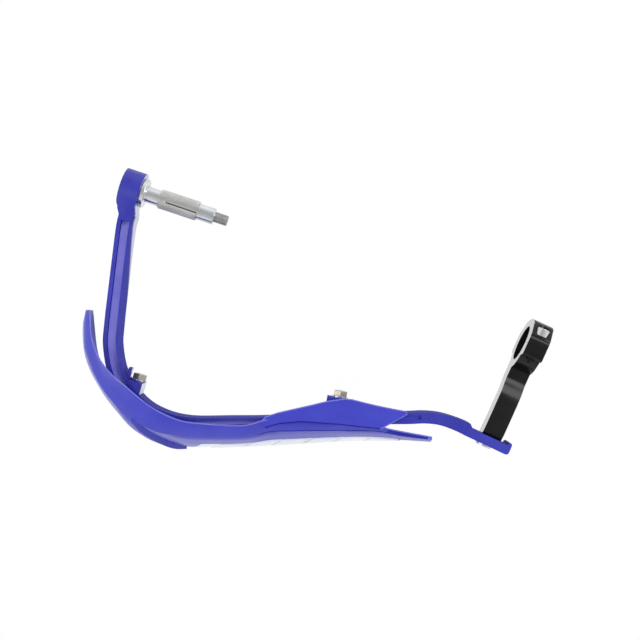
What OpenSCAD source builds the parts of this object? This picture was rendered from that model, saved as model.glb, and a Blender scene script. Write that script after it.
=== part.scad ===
// Wraparound hand guard for a motorcycle handlebar, right hand.
// The origin is the centre of the handlebar clamp bore, X runs along the handlebar
// towards the middle of the machine, -Y is the front of the machine and Z is up.
// The guard is laid out in a plan frame: turned by clamp_turn about Z from the bar clamp.

/* [Handlebar] */
// Diameter of the handlebar where the clamp grips it
handlebar_d = 28.6; // [28.4:0.1:28.8]
// Turn of the guard's own plan about the clamp bore, degrees
clamp_turn = 24.7; // [23.5:0.1:26]

/* [Guard bar] */
// Height of the guard bar
bar_h = 24; // [22:0.5:26]
// Thickness of the web between the two flanges
web_t = 15; // [8:0.5:18]
// Thickness of the outer, front flange
front_flange_t = 3.2; // [2.6:0.1:3.6]
// Thickness of the inner, rear flange
rear_flange_t = 2; // [1.6:0.1:2.6]
// Thickness of the flat end that the clamp arm is bolted to
foot_t = 7.2; // [6:0.2:9]

/* [Bar end] */
// Length of the lug along the bar-end bolt
lug_l = 15.8; // [14:0.2:18]
// Radius of the lug about the bar-end bolt
lug_r = 15; // [13.5:0.5:16]
// Diameter of the knurled expander sleeve
sleeve_d = 14.8; // [14.4:0.1:15.2]
// Length of the knurled expander sleeve
sleeve_l = 31.4; // [28:0.2:34]
// Length of the wedge nut that shows beyond the sleeve
wedge_l = 13.6; // [12:0.2:15]
// Diameter of the smooth collar and of the wedge nut
collar_d = 13.1; // [12.5:0.1:13.5]

/* [Shield] */
// Wall of the shield
shield_t = 3; // [2.5:0.1:3.4]
// Spacing of the shield's cross-sections along its length
section_step = 5; // [4:0.5:12]
// Spacing of the pale slanted blocks on the front
block_pitch = 24; // [22:0.5:26]

/* [Clamp] */
// Width of the clamp along the handlebar
clamp_w = 16; // [14:0.5:18]
// Outer radius of the clamp ring
ring_r = 20.8; // [19.5:0.1:21]
// Height of the two clamp screws above and below the bore centre
screw_rise = 19.6; // [19:0.2:20]
// Gap at the split of the clamp
split_gap = 0.4; // [0.2:0.1:1]

/* [Hidden] */
$fn = 48;

// Metric screw sizes: thread diameter, clearance hole, head diameter and head height
m6 = 6;
m6_hole = 6.6;
m6_head_d = 10;
m6_head_h = 6;
low_head_h = 3.3;
m8 = 8;
m8_hole = 8.4;
m8_head_d = 13;
m8_head_h = 4.4;
hex_across_flats = 10;
nut_h = 4.1;
washer_t = 1.4;
socket_d = 5.8;

// Plan of the shield: a straight side, a bend of bend_r about bend_centre, a straight front
bend_centre = [-266, 1];
bend_r = 75;
bend_len = PI / 2 * bend_r;
horn_start = -28;
tongue_end = 305;
// Crown of the roof as a share of its width, and steps in each third of the front face
roof_crown = 0.07;
front_pieces = 2;

// Raised panel low on the bend: it grows out of the front face over panel_grow and ends in
// a slanted step that runs down from panel_edge[0] at panel_z[0] to panel_edge[1]
panel_rise = 3.2;
panel_from = 44;
panel_grow = 26;
panel_edge = [72, 110];
panel_z = [16, -22];
panel_step = 3;
ledge_over = 8;

// Rails of the shield as [distance along the plan, value]. A distance counts from the
// start of the bend; r is the reach from bend_centre and z the height over the bar axis.
rim_r = [
    [-28, 77.6], [-20, 76.5], [-9, 75.8], [8, 70.4], [25, 63.7], [42, 57.5], [61, 55],
    [90, 55.2], [121, 58.5], [149, 60.7], [161, 60.4], [168, 58.8], [173, 57], [176, 56.5], [186, 55.5],
    [220, 56], [250, 58.5], [262, 61], [270, 63.8], [285, 67], [306, 71]
];
rim_z = [
    [-28, 19], [0, 22], [40, 24], [110, 24], [155, 22.4], [168, 21.2], [176, 20], [188, 17.8], [250, 17.2],
    [262, 15.5], [272, 12.5], [290, 10], [306, 9.5]
];
crease_r = [
    [-28, 81.4], [-20, 82.4], [0, 81.8], [11, 79.2], [33, 75.6], [60, 72.4], [90, 71],
    [105, 69.8], [125, 70.6], [158, 71], [168, 69.5], [178, 66.3], [192, 65.8], [241, 65.4],
    [258, 65.9], [268, 67], [282, 70.2], [296, 72.1], [306, 73.4]
];
crease_z = [
    [-28, 14], [0, 16], [60, 18], [150, 17], [168, 15.6], [176, 15.4], [200, 14.7], [250, 13.6], [276, 10.5],
    [306, 8.8]
];
swell_r = [
    [-28, 83.4], [-16, 87.6], [5, 88.5], [30, 84.5], [46, 83.2], [60, 81.4], [94, 82.2],
    [105, 82.3], [118, 82.7], [175, 80.7], [242, 76.4], [282, 75.6], [306, 76.4]
];
swell_z = [[-28, 0], [5, -18], [60, -25], [240, -22], [306, -6]];
foot_r = [
    [-28, 83], [5, 85], [60, 79.5], [118, 78.5], [175, 77], [242, 74], [282, 74.6],
    [306, 76]
];
foot_z = [[-28, -8], [5, -36], [40, -50], [118, -55], [200, -50], [260, -36], [306, -14]];

// Place of the roof's ridge as a share of the way from the rim to the crease
ridge_share = [
    [-28, 0.35], [30, 0.3], [67, 0.275], [89, 0.31], [112, 0.37], [133, 0.48],
    [149, 0.61], [160, 0.66], [170, 0.5], [182, 0.4], [306, 0.4]
];

// Centre line of the guard bar in plan, with its width: [p, q, width]
bar_line = [
    [-315.6, 104, 12], [-318.5, 93.5, 11.8], [-323.3, 56, 11.6], [-327.6, 18, 12],
    [-328.4, 0, 12], [-323.4, -22.5, 12], [-308.2, -43.6, 11.6], [-290, -54.8, 11],
    [-268, -59.6, 10.2], [-238, -59.2, 9.2], [-210, -58.4, 8], [-180, -56.8, 8],
    [-150, -55.6, 8.2], [-100, -55.4, 8.5], [-84, -54.9, 8.5], [-71, -56.4, 8.8],
    [-58, -60.8, 9.6], [-50.9, -64.1, 10.2]
];

// Flat end of the guard bar, in the clamp's frame
foot_face_y = -77.3;
foot_x = [-20.5, 13.6];
lip_x = 16.6;
lip_rise = 2.2;
step_rise = 2.8;

// Bar-end bolt: centre of the lug in plan, and its fall below the plan's first axis
lug_centre = [-313.4, 124];
bar_end_fall = 18.5;
flange_d = 23;
flange_t = 3.5;
collar_l = 11.5;
thread_out = 10.8;
slit_w = 2;
slit_start = 6;
slit_turn = 12;

// Shield screws: seat of the nut in plan and the turn of the screw from straight ahead
// Both lie screw_fall below the middle of the bar
screw_fall = 4.6;
outer_seat = [-309.3, -26.8];
outer_turn = -16.3;
outer_stack = [20.5, 23.6, 25.4];
inner_seat = [-150.2, -40.2];
inner_turn = -10.4;
inner_stack = [20.2, 22.2, 24];
pad_r = 9;
pad_depth = 12;
pad_room = 30;
pocket_r = 5.6;
slot_ease = 0.1;
boss_w = [11, 15];
boss_shift = [0, -2.4];
// Points of the bar's path that the recess leaves out at the lug and at the flat end
recess_skip = [3, 13];
// Step between the bar's flange edges and the lug neck, bosses and flat end
step_h = 0.6;
spacer_d = 12;
washer_d = 13;
spot_room = 1;

// Clamp side profile
bore_r = handlebar_d / 2;
split_y = 0.9;
ear_front_y = -9.3;
ear_rear_y = 15.5;
ear_flat_y = 8.6;
ear_flank = [2.6, 15.2, 0.6, 8];
ear_top = screw_rise + 5.8;
ear_round = 3;
// Side profile of the arm as [y, lower z, upper z]
arm_line = [
    [-12, -15, 3.4], [-24, -12.8, 3.5], [-29, -12.6, 3.7], [-32.5, -11.4, 4.7],
    [-36, -9.4, 6.4], [-39.5, -8.1, 7.7], [-44, -7.4, 8.6], [-54, -7.1, 9.4],
    [-64, -7, 10], [-71, -7.5, 10.1], [-75, -8.3, 9.5], [-77.3, -8.5, 8.5]
];
arm_screw_x = -2;
arm_screw_l = 24;
arm_washer_d = 16;
arm_head_depth = 3.6;
clamp_screw_l = 18;
head_room = 0.4;

// Value at x on a smooth curve through the points [x, value] of a rail
function slope(rail, i) =
    let (a = max(i - 1, 0), b = min(i + 1, len(rail) - 1))
    (rail[b][1] - rail[a][1]) / (rail[b][0] - rail[a][0]);
function last_before(rail, x, i = 0) =
    i + 2 >= len(rail) || rail[i + 1][0] > x ? i : last_before(rail, x, i + 1);
function rail_at(rail, x) =
    let (
        i = last_before(rail, x),
        w = rail[i + 1][0] - rail[i][0],
        s = (x - rail[i][0]) / w
    )
    (2 * s * s * s - 3 * s * s + 1) * rail[i][1]
    + (s * s * s - 2 * s * s + s) * w * slope(rail, i)
    + (3 * s * s - 2 * s * s * s) * rail[i + 1][1]
    + (s * s * s - s * s) * w * slope(rail, i + 1);

// Smooth curve through every point of a list, four pieces to a gap
function curve_point(list, i, s) =
    let (
        a = list[max(i - 1, 0)], b = list[i],
        c = list[i + 1], d = list[min(i + 2, len(list) - 1)]
    )
    0.5 * (2 * b + (c - a) * s + (2 * a - 5 * b + 4 * c - d) * s * s
    + (3 * b - a - 3 * c + d) * s * s * s);
function curve(list, pieces = 4) = concat(
    [for (i = [0:len(list) - 2], k = [0:pieces - 1]) curve_point(list, i, k / pieces)],
    [list[len(list) - 1]]
);

// Unit vector to the left of travel at point i of a curve
function side_of(path, i) =
    let (
        a = path[max(i - 1, 0)], b = path[min(i + 1, len(path) - 1)],
        d = [b[0] - a[0], b[1] - a[1]]
    )
    [-d[1], d[0]] / norm(d);

// Outline of a band along a curve of [p, q, width]: from_front and from_rear are what
// is left off at each edge
function edge(path, i, reach) = [path[i][0], path[i][1]] + side_of(path, i) * reach;
function band(path, from_front = 0, from_rear = 0, skip = [0, 0]) =
    let (first = skip[0], last = len(path) - 1 - skip[1])
    concat(
        [for (i = [first:last]) edge(path, i, path[i][2] / 2 - from_rear)],
        [for (i = [last:-1:first]) edge(path, i, from_front - path[i][2] / 2)]
    );

section_count = ceil((tongue_end - horn_start) / section_step);
stations = [
    for (i = [0:section_count]) horn_start + (tongue_end - horn_start) * i / section_count
];
bar_path = curve(bar_line);
arm_path = curve(arm_line);

// Point of the plan at distance t along the shield and reach r from the bend centre
function spot(t, r) =
    t < 0 ? bend_centre + [-r, -t]
    : t > bend_len ? bend_centre + [t - bend_len, -r]
    : let (a = 90 * t / bend_len) bend_centre - r * [cos(a), sin(a)];
function spot3(t, r, z) = concat(spot(t, r), [z]);

// The ring of points round the shield's wall at distance t: outer skin, then inner.
// The roof is crowned and the front face is one smooth curve from the crease to the foot.
function wall_t(t) = min(shield_t, 0.8 * (rail_at(crease_r, t) - rail_at(rim_r, t)));
function roof_skin(t) =
    let (
        a = [rail_at(rim_r, t), rail_at(rim_z, t)],
        b = [rail_at(crease_r, t), rail_at(crease_z, t)],
        crown = roof_crown * norm(b - a),
        ridge = rail_at(ridge_share, t)
    )
    [
        a, a + ridge * (b - a) + [0, crown],
        a + 0.5 * (1 + ridge) * (b - a) + [0, 0.6 * crown]
    ];
function ease(x) = let (s = min(1, max(0, x))) s * s * (3 - 2 * s);
function panel_lift(t, z) =
    let (edge_t = panel_edge[0] + (panel_edge[1] - panel_edge[0]) * (panel_z[0] - z)
        / (panel_z[0] - panel_z[1]))
    panel_rise * ease((t - panel_from) / panel_grow) * ease((edge_t - ledge_over - t) / panel_step);
function front_skin(t) =
    let (
        a = [rail_at(crease_r, t), rail_at(crease_z, t)],
        c = [rail_at(swell_r, t), rail_at(swell_z, t)],
        d = [rail_at(foot_r, t), rail_at(foot_z, t)],
        b = [a[0] + 0.55 * (c[0] - a[0]), a[1] + 0.42 * (c[1] - a[1])]
    )
    [
        for (e = curve([a, b, c, d], front_pieces))
        e + [e[1] < a[1] ? panel_lift(t, e[1]) : 0, 0]
    ];
function inward(points, from, w, drop) = [
    for (k = [len(points) - 1:-1:from])
    let (f = drop * (1 - k / (len(points) - 1)))
    points[k] - [w, f * w]
];
function wall_ring(t) =
    let (
        w = wall_t(t),
        roof = roof_skin(t),
        front = front_skin(t),
        under = [for (k = [2:-1:0]) roof[k] + [0.1 * w - 0.35 * w * k / 2, -w]]
    )
    [
        for (c = concat(roof, front, inward(front, 0, w, 0.8), under))
        spot3(t, c[0], c[1])
    ];

// Solid through a row of rings that each have the same number of points
module loft(rings) {
    n = len(rings[0]);
    last = len(rings) - 1;
    polyhedron(
        points = [for (ring = rings) each ring],
        faces = concat(
            [[for (k = [0:n - 1]) k]],
            [[for (k = [n - 1:-1:0]) last * n + k]],
            [
                for (j = [0:last - 1], k = [0:n - 1])
                let (a = j * n + k, b = j * n + (k + 1) % n)
                each [[a, a + n, b + n], [a, b + n, b]]
            ]
        ),
        convexity = 10
    );
}

// Moves children from the guard's plan frame to the clamp's frame
module in_plan() {
    rotate([0, 0, clamp_turn]) children();
}

// Slab of an outline given in plan, between two heights
module slab(outline, low, high) {
    translate([0, 0, low]) linear_extrude(high - low) polygon(outline);
}

// Moves a child drawn along +Z from the nut seat to the front of a shield screw
module on_screw(seat, turn) {
    translate([seat[0], seat[1], -screw_fall]) rotate([0, 0, turn]) rotate([90, 0, 0])
        children();
}

// Moves a child drawn along +Z to the bar-end bolt, Z = 0 at the middle of the lug
module on_bar_end() {
    in_plan() translate([lug_centre[0], lug_centre[1], 0])
        rotate([0, 0, -bar_end_fall]) rotate([0, 90, 0]) children();
}

// Moves a child drawn along +Z to a clamp screw that runs towards the front
module on_clamp_screw(height) {
    translate([0, ear_rear_y, height]) rotate([90, 0, 0]) children();
}

module ring_shape(outer_d, inner_d, length) {
    difference() {
        cylinder(d = outer_d, h = length);
        translate([0, 0, -1]) cylinder(d = inner_d, h = length + 2);
    }
}

module hexagon(across, length) {
    rotate([0, 0, 30]) cylinder(d = across / cos(30), h = length, $fn = 6);
}

// Socket head screw with its shank along +Z and its head below Z = 0
module socket_screw(size, head_d, head_h, length) {
    difference() {
        union() {
            translate([0, 0, -head_h]) cylinder(d = head_d, h = head_h);
            cylinder(d = size, h = length);
        }
        translate([0, 0, -head_h - 1]) hexagon(socket_d * size / 7, head_h * 0.6 + 1);
    }
}

// Small ear beside the outer nut that keeps it from turning
tab_x = [-8.8, -5.9];
tab_l = 9;
tab_fall = 4;
tab_h = 10;

module nut_tab() {
    on_screw(outer_seat, outer_turn) translate([tab_x[0], screw_fall - tab_fall, -tab_l])
        cube([tab_x[1] - tab_x[0], tab_h, tab_l + 2]);
}

// Outline of the neck that joins the bar to the lug; half_l is half the length of the lug
function neck_outline(half_l) = [
    [-half_l, 4], [-half_l, -8], [0.7 - half_l, -11.5], [2 - half_l, -14],
    [3.5 - half_l, -18], [6 - half_l, -22], [6.4 - half_l, -26],
    [half_l + 1.7, -26], [half_l + 1.7, -18], [half_l, -13], [half_l, 4]
];

// The bar's envelope and its two long recesses
module bar_body() {
    slab(band(bar_path), -bar_h / 2, bar_h / 2);
    translate([lug_centre[0], lug_centre[1], 0]) rotate([0, 0, -bar_end_fall]) {
        translate([-lug_l / 2, 0, 0]) rotate([0, 90, 0]) cylinder(r = lug_r, h = lug_l);
        slab(neck_outline(lug_l / 2), -bar_h / 2 - step_h, bar_h / 2 + step_h);
    }
}

module bar_recess() {
    outline = band(bar_path, front_flange_t, rear_flange_t, recess_skip);
    slab(outline, web_t / 2, bar_h);
    slab(outline, -bar_h, -web_t / 2);
}

module bar_boss(seat, turn, reach, width, shift) {
    on_screw(seat, turn) translate([shift - width / 2, step_h - bar_h / 2 + screw_fall, 0])
        cube([width, bar_h - 2 * step_h, reach]);
}

module bar_hole(seat, turn, reach) {
    on_screw(seat, turn) {
        translate([0, 0, -1]) cylinder(d = m6_hole, h = reach + 2);
        translate([0, 0, reach]) cylinder(d = spacer_d + spot_room, h = pad_r);
        translate([0, 0, -pad_r]) cylinder(d = washer_d + spot_room, h = pad_r);
    }
}

// Flat end: a plate with a rounded lip at one end and a low step at the other
foot_outline = [
    [foot_x[0], -foot_t], [lip_x - 2.4, -foot_t - 0.3], [lip_x - 0.9, -foot_t + 0.1],
    [lip_x, -foot_t + 1.2], [lip_x + 0.2, -foot_t + 3], [lip_x, lip_rise - 1.4],
    [lip_x - 0.4, lip_rise - 0.5], [lip_x - 1.2, lip_rise],
    [foot_x[1] + 0.9, lip_rise], [foot_x[1] + 0.3, lip_rise - 0.5],
    [foot_x[1], lip_rise - 1.2], [foot_x[1], 0], [foot_x[0] + 4, 0],
    [foot_x[0] + 1, step_rise], [foot_x[0], step_rise]
];

module bar_foot() {
    translate([0, foot_face_y, 0])
        slab(foot_outline, -bar_h / 2 - step_h, bar_h / 2 + step_h);
}

module guard_bar() {
    color("mediumblue") difference() {
        union() {
            in_plan() {
                difference() {
                    bar_body();
                    bar_recess();
                }
                bar_boss(outer_seat, outer_turn, outer_stack[0], boss_w[0], boss_shift[0]);
                bar_boss(inner_seat, inner_turn, inner_stack[0], boss_w[1], boss_shift[1]);
                nut_tab();
            }
            bar_foot();
        }
        in_plan() {
            bar_hole(outer_seat, outer_turn, outer_stack[0]);
            bar_hole(inner_seat, inner_turn, inner_stack[0]);
        }
        on_bar_end() {
            translate([0, 0, -lug_l]) cylinder(d = bush_d, h = 2 * lug_l);
            translate([0, 0, -lug_l / 2 - 1]) cylinder(d = cup_d, h = cup_depth + 1);
        }
        translate([arm_screw_x, foot_face_y, 0]) rotate([90, 0, 0]) {
            translate([0, 0, -1]) cylinder(d = m8_hole, h = foot_t + 2);
            translate([0, 0, foot_t - arm_head_depth])
                cylinder(d = arm_washer_d + spot_room, h = foot_t);
        }
    }
}

// Bush and cup washer in the lug
bush_d = 12;
cup_d = 20;
cup_depth = 7;
cup_t = 2;

module lug_bush() {
    color("silver") on_bar_end() translate([0, 0, -lug_l / 2 + cup_depth])
        ring_shape(bush_d, m8_hole, lug_l - cup_depth);
}

module bar_end_cup_washer() {
    color("silver") on_bar_end() translate([0, 0, -lug_l / 2 + cup_depth - cup_t])
        ring_shape(cup_d, m8_hole, cup_t);
}

module bar_end_screw() {
    seat = -lug_l / 2 + cup_depth - cup_t;
    reach = lug_l / 2 + flange_t + collar_l + sleeve_l + wedge_l + thread_out;
    color("silver") on_bar_end() translate([0, 0, seat])
        socket_screw(m8, m8_head_d, m8_head_h, reach - seat);
}

module flanged_collar() {
    color("silver") on_bar_end() translate([0, 0, lug_l / 2]) difference() {
        union() {
            cylinder(d = flange_d, h = flange_t);
            cylinder(d = collar_d, h = flange_t + collar_l);
        }
        translate([0, 0, -1]) cylinder(d = m8_hole, h = flange_t + collar_l + 2);
    }
}

module expander_sleeve() {
    start = lug_l / 2 + flange_t + collar_l;
    color("lightgray") on_bar_end() translate([0, 0, start]) difference() {
        cylinder(d = sleeve_d, h = sleeve_l);
        translate([0, 0, -1]) cylinder(d = m8_hole + 1, h = sleeve_l + 2);
        rotate([0, 0, slit_turn]) translate([-sleeve_d, -slit_w / 2, slit_start])
            cube([2 * sleeve_d, slit_w, sleeve_l]);
    }
}

module wedge_nut() {
    start = lug_l / 2 + flange_t + collar_l + sleeve_l;
    color("silver") on_bar_end() translate([0, 0, start])
        ring_shape(collar_d, m8, wedge_l);
}

// Flap of the shield that reaches back over the bar and the inner nut, in plan
flap_tip_t = 285.2;
flap = [
    [170, 60.5], [173, 57.2], [176, 54.2], [185.5, 51.1], [196.3, 48.6], [212.3, 45],
    [223.2, 42.3], [230.4, 41.3], [237.1, 40.4], [242.6, 40.9], [253.7, 43.8],
    [265.5, 46.5], [277.3, 48.9], [284.4, 50.1], [flap_tip_t, 52.6], [264.5, 63.9],
    [251, 62.3], [233.4, 60.4], [220, 59.4], [203, 58.1], [199, 58.6], [187, 59.6],
    [181, 61.2], [176, 62.8]
];
flap_z = 16.2;
flap_t = 3.4;

// Everything behind the middle of the shield's wall, used to trim the pads to it
module behind_skin() {
    loft([
        for (t = stations)
        let (
            front = front_skin(t),
            reach = rail_at(rim_r, t) - pad_room,
            inside = [for (k = [1:3 * front_pieces - 1]) front[k] - [wall_t(t) / 2, 0]]
        )
        [
            for (c = concat(
                [[reach, inside[0][1]]], inside, [[reach, inside[len(inside) - 1][1]]]
            ))
            spot3(t, c[0], c[1])
        ]
    ]);
}

module shield_pad(seat, turn, stack) {
    on_screw(seat, turn) translate([0, 0, stack[1]]) cylinder(r = pad_r, h = pad_depth);
}

// Ledge along the panel's slanted top edge. It overhangs the panel by ledge_over, and its
// reach and its root are rails like the shield's.
ledge_from = 67;
ledge_to = 111;
ledge_steps = 14;
// Height of the ledge's face at its rim, how far the face leans in, and its height at the root
ledge_face = 1.36;
ledge_lean = 0.3;
ledge_depth = 4.42;
ledge_rim = [[67, 73.4], [76, 77.2], [85, 79.9], [94, 82.4], [103, 84.5], [111, 84.2]];
ledge_root = [[67, 71], [76, 72.2], [85, 74.7], [94, 77.2], [103, 79.2], [111, 80.6]];

function ledge_ring(t) =
    let (
        s = (t - panel_edge[0]) / (panel_edge[1] - panel_edge[0]),
        z = panel_z[0] + (panel_z[1] - panel_z[0]) * s,
        root = rail_at(ledge_root, t),
        rim = rail_at(ledge_rim, t)
    )
    [
        spot3(t, root, z), spot3(t, rim, z), spot3(t, rim - ledge_lean, z - ledge_face),
        spot3(t, root, z - ledge_depth)
    ];

module ledge() {
    loft([
        for (i = [0:ledge_steps]) ledge_ring(ledge_from + (ledge_to - ledge_from) * i / ledge_steps)
    ]);
}

// Hole and keyed slot of a shield screw: the head slides in from below and stays behind
// the front face
module shield_hole(seat, turn, stack) {
    neck = m6_hole / 2 - slot_ease;
    wide = pocket_r - slot_ease;
    on_screw(seat, turn) {
        cylinder(d = m6_hole, h = stack[2] + slot_ease);
        translate([0, 0, stack[0]])
            cylinder(d = spacer_d + spot_room, h = stack[1] - stack[0]);
        translate([-neck, -pad_r - 1, stack[0]])
            cube([2 * neck, pad_r + 1, stack[2] - stack[0] + slot_ease]);
        translate([0, 0, stack[2]]) cylinder(r = pocket_r, h = low_head_h + head_room);
        translate([-wide, -pad_r - 1, stack[2]])
            cube([2 * wide, pad_r + 1, low_head_h + head_room]);
    }
}

module shield() {
    color("mediumblue") in_plan() difference() {
        union() {
            loft([for (t = stations) wall_ring(t)]);
            slab([for (f = flap) spot(f[0], f[1])], flap_z, flap_z + flap_t);
            intersection() {
                behind_skin();
                union() {
                    shield_pad(outer_seat, outer_turn, outer_stack);
                    shield_pad(inner_seat, inner_turn, inner_stack);
                }
            }
            ledge();
        }
        shield_hole(outer_seat, outer_turn, outer_stack);
        shield_hole(inner_seat, inner_turn, inner_stack);
    }
}

// Pale slanted blocks: thin plates that follow the skin just proud of the front face
blocks_start = -254;
blocks_end = -106;
block_gap = 3;
block_lean = 10;
block_t = 0.5;
block_lift = 0.45;
block_low = -24;
block_high = -4;

function skin_ring(t) =
    let (o = front_skin(t), last = 2 * front_pieces)
    concat(
        [for (k = [0:last]) spot3(t, o[k][0] + block_lift + block_t, o[k][1])],
        [for (k = [last:-1:0]) spot3(t, o[k][0] + block_lift, o[k][1])]
    );

module slanted_prism(p, width) {
    translate([p, 0, 0]) rotate([90, 0, 0]) linear_extrude(2 * bend_r) polygon([
        [0, block_low], [width, block_low],
        [width + block_lean, block_high], [block_lean, block_high]
    ]);
}

module shield_blocks() {
    color("white") in_plan() intersection() {
        loft([for (t = stations) skin_ring(t)]);
        union() {
            for (p = [blocks_start:block_pitch:blocks_end - block_pitch])
                slanted_prism(p, block_pitch - block_gap);
        }
    }
}

module shield_screw(seat, turn, stack, length) {
    color("silver") in_plan() on_screw(seat, turn) translate([0, 0, stack[2]])
        rotate([180, 0, 0]) socket_screw(m6, m6_head_d, low_head_h, length);
}

module shield_washer(seat, turn) {
    color("silver") in_plan() on_screw(seat, turn) translate([0, 0, -washer_t])
        ring_shape(washer_d, m6_hole, washer_t);
}

module shield_nut(seat, turn) {
    color("tan") in_plan() on_screw(seat, turn) translate([0, 0, -washer_t - nut_h])
        difference() {
            hexagon(hex_across_flats, nut_h);
            translate([0, 0, -1]) cylinder(d = m6, h = nut_h + 2);
        }
}

module shield_spacer(seat, turn, stack) {
    color("dimgray") in_plan() on_screw(seat, turn) translate([0, 0, stack[0]])
        ring_shape(spacer_d, m6_hole, stack[1] - stack[0]);
}

shield_screw_past = washer_t + nut_h + 0.4;

module outer_shield_screw() {
    shield_screw(outer_seat, outer_turn, outer_stack, outer_stack[2] + shield_screw_past);
}

module outer_shield_washer() {
    shield_washer(outer_seat, outer_turn);
}

module outer_shield_nut() {
    shield_nut(outer_seat, outer_turn);
}

module outer_spacer() {
    shield_spacer(outer_seat, outer_turn, outer_stack);
}

module inner_shield_screw() {
    shield_screw(inner_seat, inner_turn, inner_stack, inner_stack[2] + shield_screw_past);
}

module inner_shield_washer() {
    shield_washer(inner_seat, inner_turn);
}

module inner_shield_nut() {
    shield_nut(inner_seat, inner_turn);
}

module inner_spacer() {
    shield_spacer(inner_seat, inner_turn, inner_stack);
}

// Side profile of the whole clamp in the Y-Z plane, extruded over the clamp's width
module along_x(width) {
    rotate([90, 0, 90]) translate([0, 0, -width / 2]) linear_extrude(width) children();
}

function rounded_box(low, high, r, steps = 5) = [
    for (c = [0:3], k = [0:steps])
    let (
        a = 90 * c + 90 * k / steps,
        x = c == 0 || c == 3 ? high[0] - r : low[0] + r,
        y = c < 2 ? high[1] - r : low[1] + r
    )
    [x + r * cos(a), y + r * sin(a)]
];

// The cap's two flanks slope from the ears' flat tops to the round of the ring
function ear_slope() =
    let (top = ear_top - 0.3 * ear_round)
    [
        for (c = [-1, 1], k = [0:3])
        let (
            i = c < 0 ? 3 - k : k,
            e = [
                [0, top], [ear_flat_y, top], [ring_r - ear_flank[0], ear_flank[1]],
                [ring_r - ear_flank[2], ear_flank[3]]
            ][3 - i]
        )
        [e[0], -c * e[1]]
    ];

module clamp_blank() {
    rotate([0, 90, 0]) translate([0, 0, -clamp_w / 2]) cylinder(r = ring_r, h = clamp_w);
    along_x(clamp_w)
        polygon(rounded_box([ear_front_y, -ear_top], [ear_flat_y - 0.5, ear_top], ear_round));
    along_x(clamp_w) polygon(ear_slope());
    along_x(clamp_w) polygon(concat(
        [for (e = arm_path) [e[0], e[1]]],
        [for (k = [len(arm_path) - 1:-1:0]) [arm_path[k][0], arm_path[k][2]]]
    ));
}

module clamp_side(keep_front) {
    reach = 120;
    middle = split_y + (keep_front ? -split_gap / 2 : split_gap / 2);
    y0 = keep_front ? foot_face_y : middle;
    y1 = keep_front ? middle : reach;
    difference() {
        intersection() {
            clamp_blank();
            translate([-clamp_w, y0, -reach / 2]) cube([2 * clamp_w, y1 - y0, reach]);
        }
        rotate([0, 90, 0]) translate([0, 0, -clamp_w]) cylinder(r = bore_r, h = 2 * clamp_w);
        for (side = [-1, 1]) on_clamp_screw(side * screw_rise) {
            translate([0, 0, -reach / 2])
                cylinder(d = m6_head_d + head_room, h = reach / 2 + m6_head_h);
            cylinder(d = m6_hole, h = ear_rear_y - ear_front_y + 12);
        }
        translate([arm_screw_x, foot_face_y - 1, 0]) rotate([-90, 0, 0])
            cylinder(d = m8, h = arm_screw_l);
    }
}

module clamp_arm() {
    color([0.16, 0.16, 0.17]) clamp_side(true);
}

module clamp_cap() {
    color([0.16, 0.16, 0.17]) clamp_side(false);
}

module clamp_screw(height) {
    color("silver") on_clamp_screw(height) translate([0, 0, m6_head_h])
        socket_screw(m6, m6_head_d, m6_head_h, clamp_screw_l);
}

module upper_clamp_screw() {
    clamp_screw(screw_rise);
}

module lower_clamp_screw() {
    clamp_screw(-screw_rise);
}

module on_arm_screw() {
    translate([arm_screw_x, foot_face_y - foot_t + arm_head_depth - washer_t, 0]) rotate([-90, 0, 0])
        children();
}

module arm_screw() {
    color("white") on_arm_screw() socket_screw(m8, m8_head_d, m8_head_h, arm_screw_l);
}

module arm_washer() {
    color("silver") on_arm_screw() ring_shape(arm_washer_d, m8_hole, washer_t);
}

guard_bar();
shield();
shield_blocks();
outer_shield_screw();
outer_shield_washer();
outer_shield_nut();
outer_spacer();
inner_shield_screw();
inner_shield_washer();
inner_shield_nut();
inner_spacer();
bar_end_screw();
bar_end_cup_washer();
lug_bush();
flanged_collar();
expander_sleeve();
wedge_nut();
clamp_arm();
clamp_cap();
upper_clamp_screw();
lower_clamp_screw();
arm_screw();
arm_washer();
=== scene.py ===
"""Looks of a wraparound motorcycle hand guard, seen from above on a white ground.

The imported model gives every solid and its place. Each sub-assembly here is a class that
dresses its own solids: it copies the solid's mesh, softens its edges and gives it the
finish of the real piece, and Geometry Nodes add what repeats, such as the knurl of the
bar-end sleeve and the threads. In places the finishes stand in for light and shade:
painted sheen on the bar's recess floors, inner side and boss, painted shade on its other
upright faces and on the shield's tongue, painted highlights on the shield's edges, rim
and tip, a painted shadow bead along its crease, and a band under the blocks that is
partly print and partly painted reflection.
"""

import logging
import math
from abc import ABC, abstractmethod
from collections.abc import Callable
from dataclasses import dataclass, field, replace
from enum import Enum

import bmesh
import bpy
from mathutils import Matrix, Vector


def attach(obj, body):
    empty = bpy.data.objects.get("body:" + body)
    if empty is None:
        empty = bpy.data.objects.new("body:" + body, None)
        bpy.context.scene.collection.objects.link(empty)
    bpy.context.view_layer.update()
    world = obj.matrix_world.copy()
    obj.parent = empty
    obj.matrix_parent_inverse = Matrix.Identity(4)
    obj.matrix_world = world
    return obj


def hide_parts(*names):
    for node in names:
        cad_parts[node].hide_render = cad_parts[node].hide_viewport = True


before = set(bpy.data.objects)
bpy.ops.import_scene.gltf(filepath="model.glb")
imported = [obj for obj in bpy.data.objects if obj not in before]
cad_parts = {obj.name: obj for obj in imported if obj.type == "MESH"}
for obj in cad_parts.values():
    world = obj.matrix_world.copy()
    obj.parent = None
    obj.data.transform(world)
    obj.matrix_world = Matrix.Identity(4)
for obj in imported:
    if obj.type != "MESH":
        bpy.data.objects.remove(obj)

logging.basicConfig(level=logging.INFO, format="%(message)s")
log = logging.getLogger("hand_guard")

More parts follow.
